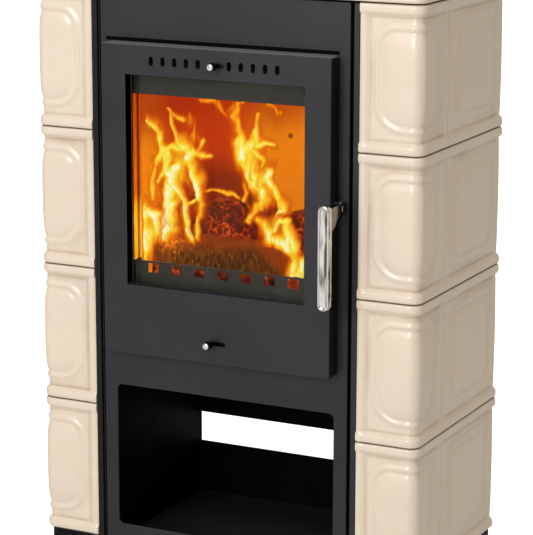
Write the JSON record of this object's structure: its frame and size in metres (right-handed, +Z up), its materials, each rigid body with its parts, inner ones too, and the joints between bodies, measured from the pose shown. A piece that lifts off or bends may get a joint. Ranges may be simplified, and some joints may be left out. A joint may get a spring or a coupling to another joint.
{
  "type": "tiled wood stove",
  "caption": "Wood stove with relief tile columns, glazed fire door with lift handle, air sliders, open wood store below, tile cornice and steel top with flue socket.",
  "frame": {"origin": "on the floor, under the middle of the tiled body in width and depth", "axes": "+X to the stove's right as seen from the front, +Y to the rear, +Z up"},
  "size_m": [0.672, 0.397, 1.0453],
  "materials": {
    "glazed_tile": "glossy",
    "grey_paint": "satin",
    "dark_steel": "matte",
    "fireclay": "matte",
    "cast_grate": "matte",
    "chrome": "polished",
    "door_glass": "clear",
    "seal_rope": "matte"
  },
  "bodies": {
    "stove": {"corner_tile_left_1": "glazed_tile", "corner_tile_right_1": "glazed_tile", "side_tile_left_1": "glazed_tile", "side_tile_right_1": "glazed_tile", "corner_tile_left_2": "glazed_tile", "corner_tile_right_2": "glazed_tile", "side_tile_left_2": "glazed_tile", "side_tile_right_2": "glazed_tile", "corner_tile_left_3": "glazed_tile", "corner_tile_right_3": "glazed_tile", "side_tile_left_3": "glazed_tile", "side_tile_right_3": "glazed_tile", "corner_tile_left_4": "glazed_tile", "corner_tile_right_4": "glazed_tile", "side_tile_left_4": "glazed_tile", "side_tile_right_4": "glazed_tile", "cornice_corner_left": "glazed_tile", "cornice_corner_right": "glazed_tile", "cornice_side_left": "glazed_tile", "cornice_side_right": "glazed_tile", "cornice_front": "glazed_tile", "front_panel": "grey_paint", "tile_rail_left": "grey_paint", "tile_rail_right": "grey_paint", "top_cover": "grey_paint", "flue_collar": "grey_paint", "plinth": "dark_steel", "floor_plate": "dark_steel", "side_panel_left": "dark_steel", "side_panel_right": "dark_steel", "rear_cover": "dark_steel", "wood_store_liner": "dark_steel", "firebox_shell": "dark_steel", "ash_pan": "dark_steel", "hinge_bracket_upper": "dark_steel", "hinge_bracket_lower": "dark_steel", "latch_catch": "dark_steel", "lining_back": "fireclay", "lining_left": "fireclay", "lining_right": "fireclay", "lining_floor": "fireclay", "baffle_plate": "fireclay", "grate": "cast_grate", "hinge_pin_upper": "chrome", "hinge_pin_lower": "chrome"},
    "door": {"door_frame": "grey_paint", "door_liner": "dark_steel", "door_glass": "door_glass", "glass_gasket": "seal_rope", "upper_air_deflector": "dark_steel", "lower_air_deflector": "dark_steel", "door_rope_seal": "seal_rope", "handle_bush": "chrome"},
    "handle": {"handle_lever": "chrome", "handle_shaft": "chrome", "latch_hook": "dark_steel"},
    "upper_air": {"upper_air_slider": "dark_steel", "upper_air_knob": "chrome"},
    "lower_air": {"lower_air_slider": "dark_steel", "lower_air_knob": "chrome"}
  },
  "joints": [
    {"name": "door_hinge", "type": "hinge", "parent": "stove", "child": "door", "pos_m": [-0.187, -0.1765, 0.6195], "axis": [0, 0, -1], "range_deg": [0, 110]},
    {"name": "handle_pivot", "type": "hinge", "parent": "door", "child": "handle", "pos_m": [0.2, -0.1725, 0.637], "axis": [-1, 0, 0], "range_deg": [0, 50]},
    {"name": "upper_air_slide", "type": "slide", "parent": "door", "child": "upper_air", "axis": [1, 0, 0], "range_m": [0, 0.01]},
    {"name": "lower_air_slide", "type": "slide", "parent": "door", "child": "lower_air", "axis": [1, 0, 0], "range_m": [0, 0.02]}
  ]
}
